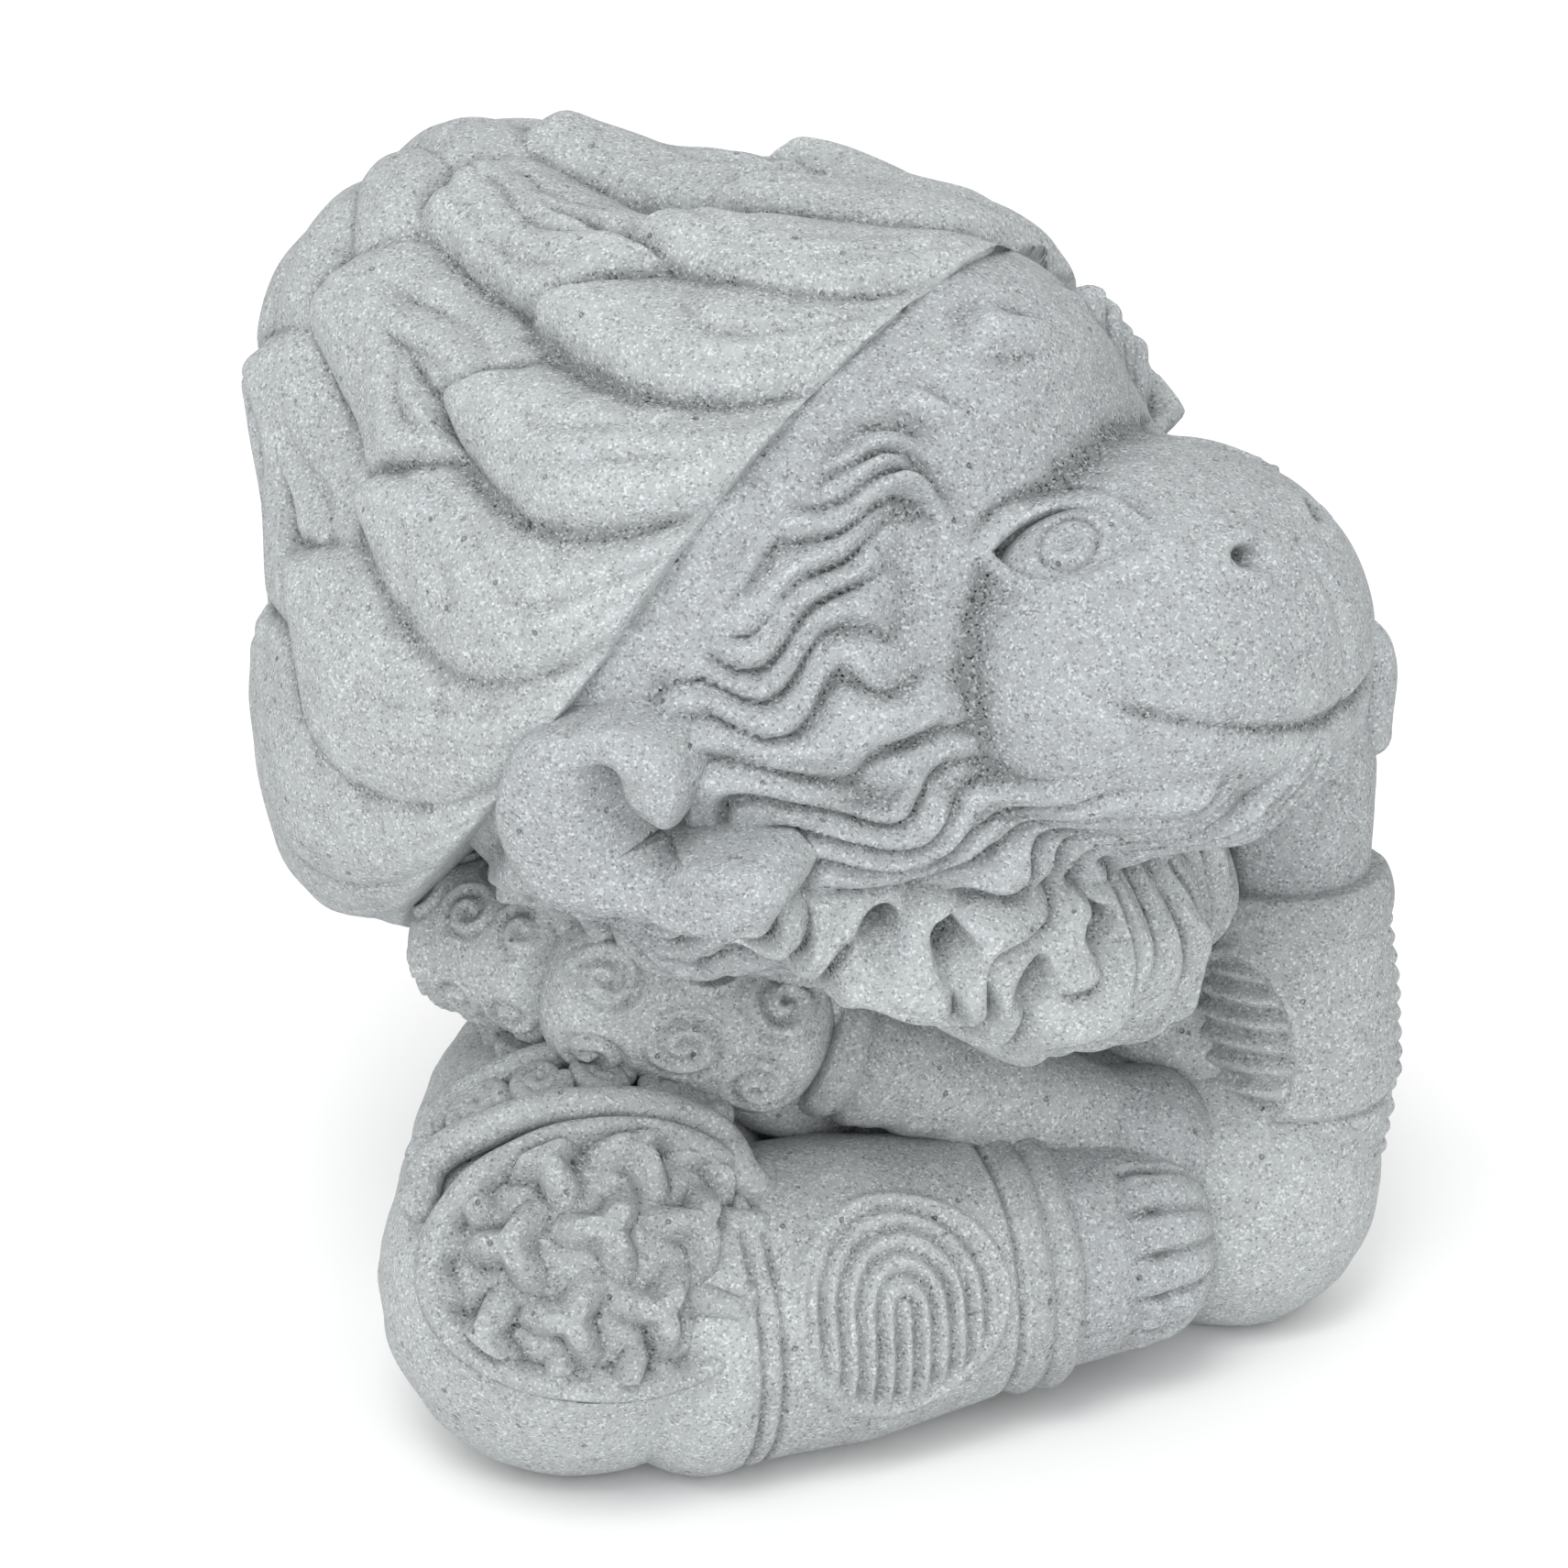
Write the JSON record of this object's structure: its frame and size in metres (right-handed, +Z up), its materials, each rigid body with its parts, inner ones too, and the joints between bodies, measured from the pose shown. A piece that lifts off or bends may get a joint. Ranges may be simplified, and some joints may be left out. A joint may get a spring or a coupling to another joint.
{
  "type": "carved stone monkey figurine",
  "caption": "Seated monkey figurine in cast sandstone, legs crossed, large head turned and propped on one hand, with a swept mane, cheek ruff and rings on arm and ankle.",
  "frame": {"origin": "on the ground, in the middle of the flat underside of the haunches", "axes": "+Z up, -Y the way the body faces, +X the figure's left side"},
  "size_m": [0.0573, 0.0587, 0.0651],
  "materials": {
    "skin_stone": "fine-grained cast sandstone, matt, rubbed smooth on the raised parts",
    "hair_stone": "fine-grained cast sandstone, matt, carved in flowing locks with dark grooves",
    "cloth_stone": "fine-grained cast sandstone, matt, carved with scrolls and folds",
    "trim_stone": "fine-grained cast sandstone, matt, with raised edges worn paler"
  },
  "bodies": {
    "root": {"head": "skin_stone", "eye_right": "skin_stone", "eye_left": "skin_stone", "ear_right": "skin_stone", "ear_left": "skin_stone", "hand_left": "skin_stone", "hand_right": "skin_stone", "foot_right": "skin_stone", "mane": "hair_stone", "ruff": "hair_stone", "torso": "cloth_stone", "seat": "cloth_stone", "thigh_right": "cloth_stone", "thigh_left": "cloth_stone", "shin_right": "cloth_stone", "shin_left": "cloth_stone", "upper_arm_right": "cloth_stone", "upper_arm_left": "cloth_stone", "sleeve_right": "cloth_stone", "forearm_right": "cloth_stone", "forearm_left": "cloth_stone", "headband": "trim_stone", "belt": "trim_stone", "tasset_right": "trim_stone", "anklet_right": "trim_stone", "armband_right": "trim_stone", "wristband_left": "trim_stone"}
  },
  "joints": []
}
